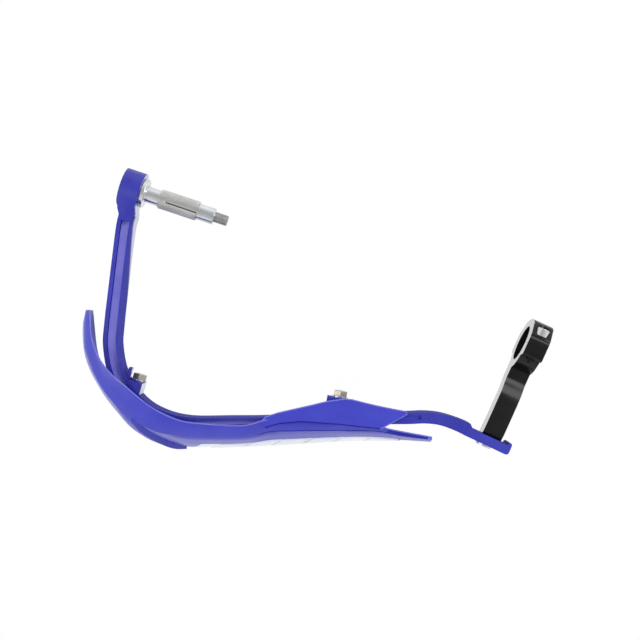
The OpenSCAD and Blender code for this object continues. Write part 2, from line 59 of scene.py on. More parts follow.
MM = 0.001
BODY = "root"
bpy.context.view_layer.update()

# The guard's plan is turned about the clamp bore, as in the solids
CLAMP_TURN = math.radians(24.7)
BAR_END_TURN = math.radians(24.7 - 18.5)
LUG_CENTRE_PLAN = Vector((-313.4, 124.0, 0.0)) * MM

# End of the shield's pale band along the plan, and how far it leans for each metre up
BAND_END = -0.1017
BAND_LEAN = 0.5

# Name of a new material's shader, and the colour sockets of a Mix node
PRINCIPLED = "Principled BSDF"
MIX_FIRST, MIX_SECOND, MIX_RESULT = 6, 7, 2


def from_plan(point: Vector) -> Vector:
    """Turn a point of the guard's plan into the clamp's frame.

    Args:
        point: A point of the plan, in metres.

    Returns:
        The same point in the frame of the clamp.
    """
    return Matrix.Rotation(CLAMP_TURN, 3, "Z") @ point


# Directions of the plan: along it, across it towards the rider, and to the front
ALONG = from_plan(Vector((1.0, 0.0, 0.0)))
ACROSS = from_plan(Vector((0.0, 1.0, 0.0)))
FRONT = -ACROSS


class Wear(Enum):
    """How a surface has been handled."""

    NEW = 0.0
    SHELF = 0.35
    TURNED = 0.6


@dataclass(frozen=True)
class Finish:
    """One surface finish.

    Attributes:
        name: Name of the material.
        slot: Slot of the record that it belongs to; not used here.
        colour: Linear base colour.
        shade: Linear colour that it drifts to in patches.
        metallic: 1 for metal, 0 for plastic.
        roughness: Middle roughness.
        spread: How far the roughness moves either way.
        grain_mm: Size of the surface grain.
        grain_depth: Height of the grain for the bump.
        coat: Weight of a clear coat.
        wear: How the surface has been handled.
        ior: Index of refraction.
    """

    name: str
    slot: str
    colour: tuple[float, float, float]
    shade: tuple[float, float, float]
    metallic: float = 0.0
    roughness: float = 0.4
    spread: float = 0.08
    grain_mm: float = 0.6
    grain_depth: float = 0.05
    coat: float = 0.0
    wear: Wear = Wear.NEW
    ior: float = 1.5


BAR_BLUE = Finish(
    "guard_bar_blue", "guard_blue", (0.019, 0.021, 0.31), (0.028, 0.032, 0.37),
    roughness=0.36, spread=0.07, grain_mm=0.7, grain_depth=0.08,
)
# Painted sheen: a far paler copy of the bar's blue on the recess floors and walls of its left
# end, standing in for the reflection of the bright surroundings
RECESS_SHEEN_BLUE = Finish(
    "guard_recess_painted_sheen", "guard_blue", (0.33, 0.31, 0.95), (0.26, 0.25, 0.88),
    roughness=0.45, spread=0.08, grain_mm=0.7, grain_depth=0.10,
)
# Weaker painted sheen: a less pale copy of the bar's blue on the recess floors and walls towards
# the flap, set against the shade that greyed the paler one there
RECESS_END_SHEEN_BLUE = Finish(
    "guard_recess_end_painted_sheen", "guard_blue", (0.105, 0.108, 0.74), (0.085, 0.090, 0.67),
    roughness=0.45, spread=0.08, grain_mm=0.7, grain_depth=0.10,
)
# Painted shade: a darker, duller copy of the bar's blue on its upright faces, which look dark in
# shade
SHADE_SIDE_BLUE = Finish(
    "guard_side_painted_shade", "guard_blue", (0.014, 0.014, 0.24), (0.020, 0.022, 0.30),
    roughness=0.55, spread=0.07, grain_mm=0.7, grain_depth=0.08, ior=1.12,
)
# Painted sheen: a glossier copy of the bar's blue on the inner side near the lug, so that it
# catches a pale reflection; it fades out along the arm
SHEEN_SIDE_BLUE = Finish(
    "guard_side_painted_sheen", "guard_blue", (0.016, 0.017, 0.27), (0.022, 0.024, 0.32),
    roughness=0.22, spread=0.05, grain_mm=0.7, grain_depth=0.04, coat=1.0, ior=1.8,
)
# Painted sheen on the boss's lit side: the same glossier copy of the bar's blue, without the fade
LIT_SIDE_BLUE = replace(SHEEN_SIDE_BLUE, name="guard_lit_side_blue")
SHIELD_BLUE = Finish(
    "shield_blue", "shield_blue", (0.032, 0.036, 0.42), (0.040, 0.046, 0.47),
    roughness=0.30, spread=0.06, grain_mm=0.8, grain_depth=0.04,
)
# Painted highlight: a paler copy of the shield's blue on its rounded edges, its rim bead and the
# tongue's tip, where light catches them
HIGHLIGHT_EDGE_BLUE = Finish(
    "edge_painted_highlight", "shield_blue", (0.16, 0.16, 0.62), (0.10, 0.11, 0.54),
    roughness=0.34, spread=0.08, grain_mm=0.6, grain_depth=0.06,
)
# Painted shade: a darker, duller copy of the shield's blue on the tongue's top, which lies in
# shade
TONGUE_SHADE_BLUE = Finish(
    "tongue_painted_shade", "shield_blue", (0.014, 0.018, 0.28), (0.018, 0.022, 0.33),
    roughness=0.40, spread=0.06, grain_mm=0.8, grain_depth=0.04, ior=1.3,
)
# Painted shadow: a dark blue bead along the flap's front edge and the crease below it, where
# shade falls
CREASE_SHADOW_BLUE = Finish(
    "crease_painted_shadow", "shield_blue", (0.010, 0.010, 0.22), (0.014, 0.015, 0.28),
    roughness=0.5, spread=0.06, grain_mm=0.6, grain_depth=0.05, ior=1.2,
)
PALE_BLOCK = Finish(
    "pale_block", "pale_block", (0.80, 0.81, 0.88), (0.70, 0.72, 0.84),
    roughness=0.32, spread=0.05, grain_mm=0.5, grain_depth=0.03, coat=0.3,
)
ZINC = Finish(
    "zinc_plate", "zinc", (0.74, 0.76, 0.76), (0.56, 0.58, 0.59),
    metallic=1.0, roughness=0.22, spread=0.10, grain_mm=0.35, grain_depth=0.04,
    wear=Wear.TURNED,
)
KNURLED = Finish(
    "knurled_zinc", "knurled_zinc", (0.62, 0.62, 0.60), (0.46, 0.46, 0.45),
    metallic=1.0, roughness=0.38, spread=0.10, grain_mm=0.3, grain_depth=0.10,
    wear=Wear.SHELF,
)
POLISHED = Finish(
    "polished_shank", "zinc", (0.90, 0.90, 0.89), (0.84, 0.84, 0.83),
    metallic=1.0, roughness=0.08, spread=0.04, grain_mm=0.4, grain_depth=0.02,
)
THREADED = Finish(
    "threaded_zinc", "zinc", (0.46, 0.45, 0.43), (0.32, 0.32, 0.31),
    metallic=1.0, roughness=0.34, spread=0.10, grain_mm=0.3, grain_depth=0.06,
    wear=Wear.SHELF,
)
PASSIVATED = Finish(
    "passivated_nut", "passivated", (0.50, 0.42, 0.28), (0.40, 0.38, 0.34),
    metallic=1.0, roughness=0.36, spread=0.12, grain_mm=0.5, grain_depth=0.08,
    wear=Wear.SHELF,
)
STAINLESS = Finish(
    "stainless", "stainless", (0.66, 0.66, 0.66), (0.52, 0.52, 0.53),
    metallic=1.0, roughness=0.26, spread=0.08, grain_mm=0.3, grain_depth=0.04,
    wear=Wear.TURNED,
)
BRIGHT_STEEL = Finish(
    "bright_steel", "stainless", (0.86, 0.86, 0.88), (0.78, 0.78, 0.80),
    metallic=1.0, roughness=0.42, spread=0.08, grain_mm=0.3, grain_depth=0.04,
)
ANODISED = Finish(
    "black_anodised", "anodised_black", (0.003, 0.003, 0.003), (0.006, 0.006, 0.007),
    roughness=0.20, spread=0.06, grain_mm=0.3, grain_depth=0.02, ior=1.34,
    wear=Wear.SHELF,
)
ANODISED_SIDE = Finish(
    "black_anodised_side", "anodised_black", (0.010, 0.010, 0.010), (0.016, 0.016, 0.017),
    roughness=0.16, spread=0.05, grain_mm=0.3, grain_depth=0.02, coat=1.0, ior=1.6,
)
SPACER_GREY = Finish(
    "spacer_grey", "spacer_grey", (0.16, 0.16, 0.18), (0.22, 0.22, 0.24),
    roughness=0.55, spread=0.08, grain_mm=0.5, grain_depth=0.10,
)


Socket = bpy.types.NodeSocket
# A node's input takes a constant or another node's socket
Value = float | str | tuple[float, ...] | Vector | Socket


@dataclass
class Tree:
    """A node tree, with short ways to add, fill and link its nodes."""

    data: bpy.types.NodeTree

    def fill(self, node: bpy.types.Node, inputs: dict[str | int, Value]) -> None:
        """Link a node's inputs or set their constants.

        Args:
            node: The node.
            inputs: Another node's socket, or a constant, by the input's name or number.
        """
        for name, value in inputs.items():
            if isinstance(value, Socket):
                self.data.links.new(value, node.inputs[name])
            else:
                node.inputs[name].default_value = value

    def node(
        self, kind: str, inputs: dict[str | int, Value] | None = None, **settings: object
    ) -> bpy.types.Node:
        """Add a node.

        Args:
            kind: Type of the node.
            inputs: What its inputs take, by name or number.
            settings: Its settings.

        Returns:
            The new node.
        """
        node = self.data.nodes.new(kind)
        for name, value in settings.items():
            setattr(node, name, value)
        self.fill(node, inputs or {})
        return node

    def sum(self, operation: str, *values: Value, **settings: object) -> Socket:
        """Add a math node.

        Args:
            operation: What it does.
            values: What its inputs take, in order.
            settings: Its other settings.

        Returns:
            The result's socket.
        """
        inputs = dict(enumerate(values))
        return self.node("ShaderNodeMath", inputs, operation=operation, **settings).outputs[0]


class Group(Tree):
    """A node group with named sockets."""

    def __init__(
        self, name: str, kind: str, inputs: dict[str, str], outputs: dict[str, str]
    ) -> None:
        """Start the group with its sockets.

        Args:
            name: Name of the group.
            kind: Kind of node tree.
            inputs: Kind of each input.
            outputs: Kind of each output.
        """
        super().__init__(bpy.data.node_groups.new(name, kind))
        self.sockets: dict[tuple[str, str], str] = {}
        for way, sockets in (("INPUT", inputs), ("OUTPUT", outputs)):
            for label, sort in sockets.items():
                socket = self.data.interface.new_socket(
                    label, in_out=way, socket_type=f"NodeSocket{sort}"
                )
                self.sockets[way, label] = socket.identifier
        self.given = self.node("NodeGroupInput").outputs
        self.result = self.node("NodeGroupOutput")


class GrainGroup(Group):
    """Shared node group: patchy colour, roughness and grain height over a surface."""

    def __init__(self) -> None:
        """Build the group."""
        super().__init__(
            "surface_grain", "ShaderNodeTree",
            {
                "Colour": "Color", "Shade": "Color", "Vector": "Vector",
                "Roughness": "Float", "Spread": "Float", "Grain": "Float", "Patch": "Float",
            },
            {"Colour": "Color", "Roughness": "Float", "Height": "Float"},
        )
        given = self.given
        patch = self.node(
            "ShaderNodeTexNoise",
            {"Vector": given["Vector"], "Scale": given["Patch"], "Detail": 3.0},
        )
        grain = self.node(
            "ShaderNodeTexNoise",
            {
                "Vector": given["Vector"], "Scale": given["Grain"],
                "Detail": 4.0, "Roughness": 0.6,
            },
        )
        spots = self.node(
            "ShaderNodeMapRange",
            {"Value": patch.outputs["Fac"], "From Min": 0.35, "From Max": 0.65},
        ).outputs["Result"]
        blend = self.node(
            "ShaderNodeMix",
            {"Factor": spots, MIX_FIRST: given["Colour"], MIX_SECOND: given["Shade"]},
            data_type="RGBA",
        )
        centred = self.sum("SUBTRACT", spots, 0.5)
        self.fill(self.result, {
            "Colour": blend.outputs[MIX_RESULT],
            "Roughness": self.sum(
                "MULTIPLY_ADD", centred, given["Spread"], given["Roughness"]
            ),
            "Height": grain.outputs["Fac"],
        })


class PrintReflectionBand(Group):
    """Shared node group: mask of the pale band under the blocks, print and painted reflection."""

    # Limits in the plan and width of their soft edge, in metres, and the least facing
    START = -0.258
    LOW = -0.025
    HIGH = -0.003
    SOFT = 0.0008
    FRONT_LIMIT = -0.2

    def __init__(self) -> None:
        """Build the group: inside the band is 1, from a place and a normal."""
        super().__init__(
            "print_reflection_band", "ShaderNodeTree",
            {"Vector": "Vector", "Normal": "Vector"}, {"Mask": "Float"},
        )
        place, facing = self.in_plan("Vector"), self.in_plan("Normal")
        lean = self.sum("MULTIPLY", place["Z"], BAND_LEAN)
        along = self.sum("SUBTRACT", place["X"], lean)
        mask = self.sum("LESS_THAN", facing["Y"], self.FRONT_LIMIT)
        for value, limit, sign in (
            (along, self.START, 1.0), (along, BAND_END, -1.0),
            (place["Z"], self.LOW, 1.0), (place["Z"], self.HIGH, -1.0),
        ):
            mask = self.sum("MULTIPLY", mask, self.step(value, limit, sign))
        self.fill(self.result, {"Mask": mask})

    def in_plan(self, label: str) -> bpy.types.NodeOutputs:
        """Turn a vector back to the plan and split it.

        Args:
            label: The input that gives the vector.

        Returns:
            Its X, Y and Z sockets.
        """
        turn = self.node(
            "ShaderNodeVectorRotate", {"Vector": self.given[label], "Angle": -CLAMP_TURN},
            rotation_type="Z_AXIS",
        )
        return self.node("ShaderNodeSeparateXYZ", {"Vector": turn.outputs["Vector"]}).outputs

    def step(self, value: Socket, limit: float, sign: float) -> Socket:
        """Rise softly from 0 to 1 where a value passes a limit.

        Args:
            value: The value.
            limit: The limit, in metres.
            sign: 1 to rise above the limit, -1 to rise below it.

        Returns:
            The step's socket.
        """
        share = self.sum("DIVIDE", self.sum("SUBTRACT", value, limit), self.SOFT)
        return self.sum("MULTIPLY_ADD", share, sign, 0.5, use_clamp=True)


@dataclass
class Finishes:
    """Builds and keeps one material for each finish."""

    group: GrainGroup = field(default_factory=GrainGroup)
    made: dict[str, bpy.types.Material] = field(default_factory=dict)
    patch_scale: float = 45.0
    coat_roughness: float = 0.12
    bump: float = 0.35
    bump_by_wear: float = 0.3

    def get(self, finish: Finish) -> bpy.types.Material:
        """Return the finish's material, building it the first time.

        Args:
            finish: The finish wanted.

        Returns:
            Its material.
        """
        if finish.name not in self.made:
            self.made[finish.name] = self._build(finish)
        return self.made[finish.name]

    def _build(self, finish: Finish) -> bpy.types.Material:
        """Build the node tree of one finish.

        Args:
            finish: The finish wanted.

        Returns:
            A new material.
        """
        material = bpy.data.materials.new(finish.name)
        material.use_nodes = True
        tree = Tree(material.node_tree)
        grain = tree.node(
            "ShaderNodeGroup",
            {
                "Vector": tree.node("ShaderNodeTexCoord").outputs["Object"],
                "Colour": (*finish.colour, 1.0), "Shade": (*finish.shade, 1.0),
                "Roughness": finish.roughness, "Spread": finish.spread,
                "Grain": 1.0 / (finish.grain_mm * MM), "Patch": self.patch_scale,
            },
            node_tree=self.group.data,
        ).outputs
        bump = tree.node(
            "ShaderNodeBump",
            {
                "Height": grain["Height"], "Distance": finish.grain_depth * MM,
                "Strength": self.bump + self.bump_by_wear * finish.wear.value,
            },
        )
        tree.fill(tree.data.nodes[PRINCIPLED], {
            "Metallic": finish.metallic, "IOR": finish.ior,
            "Coat Weight": finish.coat, "Coat Roughness": self.coat_roughness,
            "Base Color": grain["Colour"], "Roughness": grain["Roughness"],
            "Normal": bump.outputs["Normal"],
        })
        return material

    def fade_sheen(
        self, finish: Finish, dull: Finish, point: Vector, lean: Vector, soft: float
    ) -> None:
        """Let a finish's painted sheen fade to the duller look of another in front of a plane.

        Args:
            finish: The glossier finish that paints the sheen, which is changed.
            dull: The finish whose IOR, coat and roughness it takes at the plane's back.
            point: A point of the plane, in metres.
            lean: The plane's normal, towards the side with the sheen.
            soft: Width of the fade in front of the plane, in metres.
        """
        tree = Tree(self.get(finish).node_tree)
        place = tree.node("ShaderNodeTexCoord").outputs["Object"]
        gap = tree.node("ShaderNodeVectorMath", {0: place, 1: point}, operation="SUBTRACT")
        reach = tree.node(
            "ShaderNodeVectorMath", {0: gap.outputs["Vector"], 1: lean},
            operation="DOT_PRODUCT",
        )
        ior, coat, rougher = (
            tree.node(
                "ShaderNodeMapRange",
                {
                    "Value": reach.outputs["Value"], "From Max": soft,
                    "To Min": low, "To Max": high,
                },
            ).outputs["Result"]
            for low, high in (
                (dull.ior, finish.ior), (dull.coat, finish.coat),
                (dull.roughness - finish.roughness, 0.0),
            )
        )
        shader = tree.data.nodes[PRINCIPLED]
        base = shader.inputs["Roughness"].links[0].from_socket
        tree.fill(shader, {
            "IOR": ior, "Coat Weight": coat, "Roughness": tree.sum("ADD", base, rougher)
        })

    def paint_print_reflection_band(self, finish: Finish, colour: tuple[float, float, float]) -> None:
        """Paint the pale band under the blocks over a finish's own colour, partly print and
        partly painted reflection that hides the shade between the blocks.

        Args:
            finish: The finish that carries the band.
            colour: Linear colour of the band.
        """
        tree = Tree(self.get(finish).node_tree)
        shader = tree.data.nodes[PRINCIPLED]
        band = tree.node(
            "ShaderNodeGroup",
            {
                "Vector": tree.node("ShaderNodeTexCoord").outputs["Object"],
                "Normal": tree.node("ShaderNodeNewGeometry").outputs["Normal"],
            },
            node_tree=PrintReflectionBand().data,
        )
        over = tree.node(
            "ShaderNodeMix",
            {
                "Factor": band.outputs["Mask"], MIX_SECOND: (*colour, 1.0),
                MIX_FIRST: shader.inputs["Base Color"].links[0].from_socket,
            },
            data_type="RGBA",
        )
        tree.fill(shader, {"Base Color": over.outputs[MIX_RESULT]})


@dataclass
class Dresser:
    """Turns solids into finished pieces."""

    finishes: Finishes
    weld_mm: float = 0.002
    flat_angle: float = 0.6

    def copy_solid(self, node: str, name: str) -> bpy.types.Object:
        """Copy a solid's mesh into a new object with merged points and flat faces joined.

        Args:
            node: The solid's name.
            name: Name of the new piece.

        Returns:
            The new object, not yet finished.
        """
        mesh = bpy.data.meshes.new(name)
        work = bmesh.new()
        work.from_mesh(bpy.data.objects[node].data)
        bmesh.ops.remove_doubles(work, verts=work.verts, dist=self.weld_mm * MM)
        bmesh.ops.dissolve_limit(
            work, angle_limit=math.radians(self.flat_angle), verts=work.verts,
            edges=work.edges,
        )
        work.to_mesh(mesh)
        work.free()
        piece = bpy.data.objects.new(name, mesh)
        bpy.context.collection.objects.link(piece)
        return piece

    def add(self, piece: bpy.types.Object, finish: Finish) -> int:
        """Put a finish on a piece's list of materials, unless it's there.

        Args:
            piece: The piece.
            finish: The finish.

        Returns:
            Its number on the list.
        """
        materials, material = piece.data.materials, self.finishes.get(finish)
        if material.name not in materials:
            materials.append(material)
        return materials.find(material.name)

    def finish(
        self, piece: bpy.types.Object, finish: Finish, nodes: tuple[str, ...] = ()
    ) -> bpy.types.Object:
        """Give a piece its body.

        Args:
            piece: The piece.
            finish: Its finish.
            nodes: Solids that it stands for.

        Returns:
            The piece.
        """
        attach(piece, BODY)
        if nodes:
            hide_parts(*nodes)
        log.info("piece %s: %s", piece.name, finish.name)
        return piece

    @staticmethod
    def cut(piece: bpy.types.Object, point: Vector, normal: Vector) -> None:
        """Cut a piece's faces along a plane, so that each side can have its own finish.

        Args:
            piece: The piece.
            point: A point of the plane, in metres.
            normal: The plane's normal.
        """
        work = bmesh.new()
        work.from_mesh(piece.data)
        bmesh.ops.bisect_plane(
            work, geom=work.verts[:] + work.edges[:] + work.faces[:],
            plane_co=point, plane_no=normal,
        )
        work.to_mesh(piece.data)
        work.free()

    def dress(
        self, node: str, finish: Finish, edge_mm: float, angle: float = 34.0,
        segments: int = 2, edge_finish: Finish | None = None,
    ) -> bpy.types.Object:
        """Copy a solid, round its sharp edges and finish it.

        Args:
            node: The solid's name.
            finish: Its finish.
            edge_mm: Width of the rounding at its edges.
            angle: Edges sharper than this, in degrees, are rounded.
            segments: Steps in the rounding.
            edge_finish: Finish of the rounded edges, where it differs.

        Returns:
            The finished piece.
        """
        piece = self.copy_solid(node, f"{node}_skin")
        self.add(piece, finish)
        piece.data.shade_smooth()
        piece.data.set_sharp_from_angle(angle=math.radians(angle))
        bevel = piece.modifiers.new("edge", "BEVEL")
        bevel.width = edge_mm * MM
        bevel.segments = segments
        bevel.limit_method = "ANGLE"
        bevel.angle_limit = math.radians(angle)
        bevel.harden_normals = True
        bevel.use_clamp_overlap = True
        if edge_finish is not None:
            bevel.material = self.add(piece, edge_finish)
        return self.finish(piece, finish, (node,))


class NodeShape(Group):
    """A shape made by a Geometry Nodes tree and then kept as a plain mesh."""

    def __init__(self, name: str, inputs: dict[str, str]) -> None:
        """Start the tree with its named inputs.

        Args:
            name: Name of the tree.
            inputs: Kind of each input.
        """
        super().__init__(
            name, "GeometryNodeTree",
            {"Start": "Geometry", **inputs, "Finish": "Material"}, {"Geometry": "Geometry"},
        )

    def sweep(self, line: Socket, radius: Socket, sides: int) -> Socket:
        """Sweep a round or many-sided section along a line.

        Args:
            line: Socket of the line.
            radius: Socket of the section's radius.
            sides: Number of the section's sides.

        Returns:
            Socket of the swept mesh.
        """
        ring = self.node(
            "GeometryNodeCurvePrimitiveCircle", {"Resolution": sides, "Radius": radius}
        ).outputs["Curve"]
        return self.node(
            "GeometryNodeCurveToMesh",
            {"Curve": line, "Profile Curve": ring, "Fill Caps": True},
        ).outputs["Mesh"]

    def close(self, shape: Socket) -> None:
        """End the tree: realise its instances and set its material.

        Args:
            shape: Socket of the finished shape.
        """
        real = self.node("GeometryNodeRealizeInstances", {"Geometry": shape})
        paint = self.node(
            "GeometryNodeSetMaterial",
            {"Geometry": real.outputs["Geometry"], "Material": self.given["Finish"]},
        )
        self.fill(self.result, {"Geometry": paint.outputs["Geometry"]})

    def make(
        self, name: str, place: Matrix, material: bpy.types.Material,
        values: dict[str, float], start: bpy.types.Mesh | None = None,
    ) -> bpy.types.Object:
        """Run the tree and keep its result as a plain mesh at its place.

        Args:
            name: Name of the new piece.
            place: Where the tree's own frame stands.
            material: The finish's material.
            values: Value of each named input.
            start: Mesh that the tree starts from, if it needs one.

        Returns:
            The new piece, without a modifier.
        """
        piece = bpy.data.objects.new(name, start or bpy.data.meshes.new(name))
        bpy.context.collection.objects.link(piece)
        maker = piece.modifiers.new("shape", "NODES")
        maker.node_group = self.data
        for label, value in values.items():
            maker[self.sockets["INPUT", label]] = value
        maker[self.sockets["INPUT", "Finish"]] = material
        bpy.context.view_layer.update()
        ready = piece.evaluated_get(bpy.context.evaluated_depsgraph_get())
        mesh = bpy.data.meshes.new_from_object(ready)
        piece.modifiers.clear()
        mesh.transform(place)
        mesh.name = name
        piece.data = mesh
        return piece


class KnurlShape(NodeShape):
    """Rows of small four-sided studs round a cylinder along X, left out at its slot."""

    def __init__(self) -> None:
        """Build the tree."""
        super().__init__("knurl", {
            "Radius": "Float", "Length": "Float", "Around": "Int", "Along": "Int",
            "Stud": "Float", "Top": "Float", "Rise": "Float", "Twist": "Float",
            "Slot Angle": "Float", "Slot Half": "Float", "Slot From": "Float",
        })
        given = self.given
        grid = self.node(
            "GeometryNodeMeshGrid",
            {
                "Size X": given["Length"], "Size Y": math.tau,
                "Vertices X": given["Along"], "Vertices Y": given["Around"],
            },
        )
        where = self.node("GeometryNodeInputPosition").outputs["Position"]
        place = self.node("ShaderNodeSeparateXYZ", {"Vector": where}).outputs
        angle = self.sum("MULTIPLY_ADD", place["X"], given["Twist"], place["Y"])
        sine, cosine = self.sum("SINE", angle), self.sum("COSINE", angle)
        outward = self.node("ShaderNodeCombineXYZ", {"Y": sine, "Z": cosine})
        spot = self.node(
            "ShaderNodeCombineXYZ",
            {
                "X": place["X"], "Y": self.sum("MULTIPLY", sine, given["Radius"]),
                "Z": self.sum("MULTIPLY", cosine, given["Radius"]),
            },
        )
        kept = self.node(
            "GeometryNodeStoreNamedAttribute",
            {
                "Geometry": grid.outputs["Mesh"], "Name": "outward",
                "Value": outward.outputs["Vector"],
            },
            data_type="FLOAT_VECTOR",
        )
        points = self.node(
            "GeometryNodeMeshToPoints",
            {
                "Mesh": kept.outputs["Geometry"], "Position": spot.outputs["Vector"],
                "Selection": self.off_slot(angle, place["X"]),
            },
        )
        stud = self.node(
            "GeometryNodeMeshCone",
            {
                "Vertices": 4, "Radius Top": given["Top"],
                "Radius Bottom": given["Stud"], "Depth": given["Rise"],
            },
        )
        read = self.node(
            "GeometryNodeInputNamedAttribute", {"Name": "outward"}, data_type="FLOAT_VECTOR"
        )
        turn = self.node(
            "FunctionNodeAlignRotationToVector", {"Vector": read.outputs["Attribute"]},
            axis="Z",
        )
        spread = self.node(
            "GeometryNodeInstanceOnPoints",
            {
                "Points": points.outputs["Points"], "Instance": stud.outputs["Mesh"],
                "Rotation": turn.outputs["Rotation"],
            },
        )
        self.close(spread.outputs["Instances"])

    def off_slot(self, angle: Socket, reach: Socket) -> Socket:
        """Choose the studs that stand clear of the slot.

        Args:
            angle: Socket of a stud's angle round the cylinder.
            reach: Socket of its distance along the cylinder.

        Returns:
            Socket that is 1 for those studs.
        """
        given = self.given
        apart = self.sum("SINE", self.sum("SUBTRACT", angle, given["Slot Angle"]))
        across = self.sum("ABSOLUTE", self.sum("MULTIPLY", apart, given["Radius"]))
        near = self.sum("LESS_THAN", across, given["Slot Half"])
        inside = self.sum("GREATER_THAN", reach, given["Slot From"])
        return self.sum("LESS_THAN", self.sum("MULTIPLY", near, inside), 0.5)


class ThreadShape(NodeShape):
    """A screw thread: a small ridge wound along Z."""

    def __init__(self) -> None:
        """Build the tree."""
        super().__init__("thread", dict.fromkeys(("Radius", "Length", "Turns", "Ridge"), "Float"))
        spiral = self.node(
            "GeometryNodeCurveSpiral",
            {
                "Resolution": 28, "Rotations": self.given["Turns"],
                "Start Radius": self.given["Radius"], "End Radius": self.given["Radius"],
                "Height": self.given["Length"],
            },
        )
        self.close(self.sweep(spiral.outputs["Curve"], self.given["Ridge"], sides=4))


class BeadShape(NodeShape):
    """A thin round bead along the edges of a wire mesh."""

    def __init__(self) -> None:
        """Build the tree."""
        super().__init__("bead", {"Radius": "Float"})
        line = self.node("GeometryNodeMeshToCurve", {"Mesh": self.given["Start"]})
        bead = self.sweep(line.outputs["Curve"], self.given["Radius"], sides=8)
        smooth = self.node("GeometryNodeSetShadeSmooth", {"Geometry": bead})
        self.close(smooth.outputs["Geometry"])


@dataclass
class Assembly(ABC):
    """A sub-assembly, which dresses its own solids."""

    dresser: Dresser

    @abstractmethod
    def build(self) -> None:
        """Dress the sub-assembly's pieces."""


@dataclass
class GuardBar(Assembly):
    """The blue nylon bar."""

    edge_mm: float = 0.7
    recess_z_mm: float = 7.5
    level_room_mm: float = 0.1
    pale_until_mm: float = -140.0
    boss_seat_mm: tuple[float, float] = (-309.3, -26.8)
    boss_turn: float = -16.3
    boss_room_mm: float = 17.0
    sheen_from_mm: tuple[float, float] = (35.0, -12.0)
    sheen_lean: tuple[float, float] = (0.31, -0.95)
    sheen_soft_mm: float = 7.0
    upright_limit: float = 0.3
    inner_limit: float = 0.7
    lit_limit: float = 0.98

    def build(self) -> None:
        """Dress the bar, with painted sheen on its recess floors and some inner faces and painted
        shade on its other upright faces.
        """
        bar = self.dresser.dress("guard_bar", BAR_BLUE, self.edge_mm, angle=30.0, segments=3)
        recess, side, recess_end, sheen, lit = (
            self.dresser.add(bar, finish)
            for finish in (
                RECESS_SHEEN_BLUE, SHADE_SIDE_BLUE, RECESS_END_SHEEN_BLUE, SHEEN_SIDE_BLUE, LIT_SIDE_BLUE
            )
        )
        self.dresser.cut(bar, ALONG * self.pale_until_mm * MM, ALONG)
        # The painted sheen on the inner side fades out in front of a plane
        self.dresser.finishes.fade_sheen(
            SHEEN_SIDE_BLUE, SHADE_SIDE_BLUE,
            from_plan(Vector((0.0, *self.sheen_from_mm)) * MM),
            from_plan(Vector((0.0, *self.sheen_lean))), self.sheen_soft_mm * MM,
        )
        seat = from_plan(Vector((*self.boss_seat_mm, 0.0)) * MM)
        turn = math.radians(self.boss_turn)
        boss_side = from_plan(Vector((math.cos(turn), math.sin(turn), 0.0)))
        for face in bar.data.polygons:
            height = abs(face.center.z)
            level = abs(height - self.recess_z_mm * MM) < self.level_room_mm * MM
            recessed = height > self.recess_z_mm * MM
            upright = abs(face.normal.z) < self.upright_limit
            pale = face.center.dot(ALONG) < self.pale_until_mm * MM
            near_boss = (face.center - seat).length < self.boss_room_mm * MM
            lit_side = near_boss and face.normal.dot(boss_side) > self.lit_limit
            inner = face.normal.dot(ALONG) > self.inner_limit
            sheen_face = inner and face.center.dot(ACROSS) > 0.0
            # Upright faces take the painted shade, or the painted sheen on the boss's lit side
            # and the inner side
            if upright and (pale or not recessed):
                face.material_index = lit if lit_side else sheen if sheen_face else side
            # Recess floors and walls take the painted sheen, paler at the bar's left end
            elif level or upright:
                face.material_index = recess if pale else recess_end


@dataclass(frozen=True)
class SolidEdge:
    """An edge between two faces of a solid.

    Attributes:
        reach_mm: How far along the plan its middle lies.
        upper: Normal of its upper face.
        lower: Normal of its lower face.
    """

    reach_mm: float
    upper: Vector
    lower: Vector


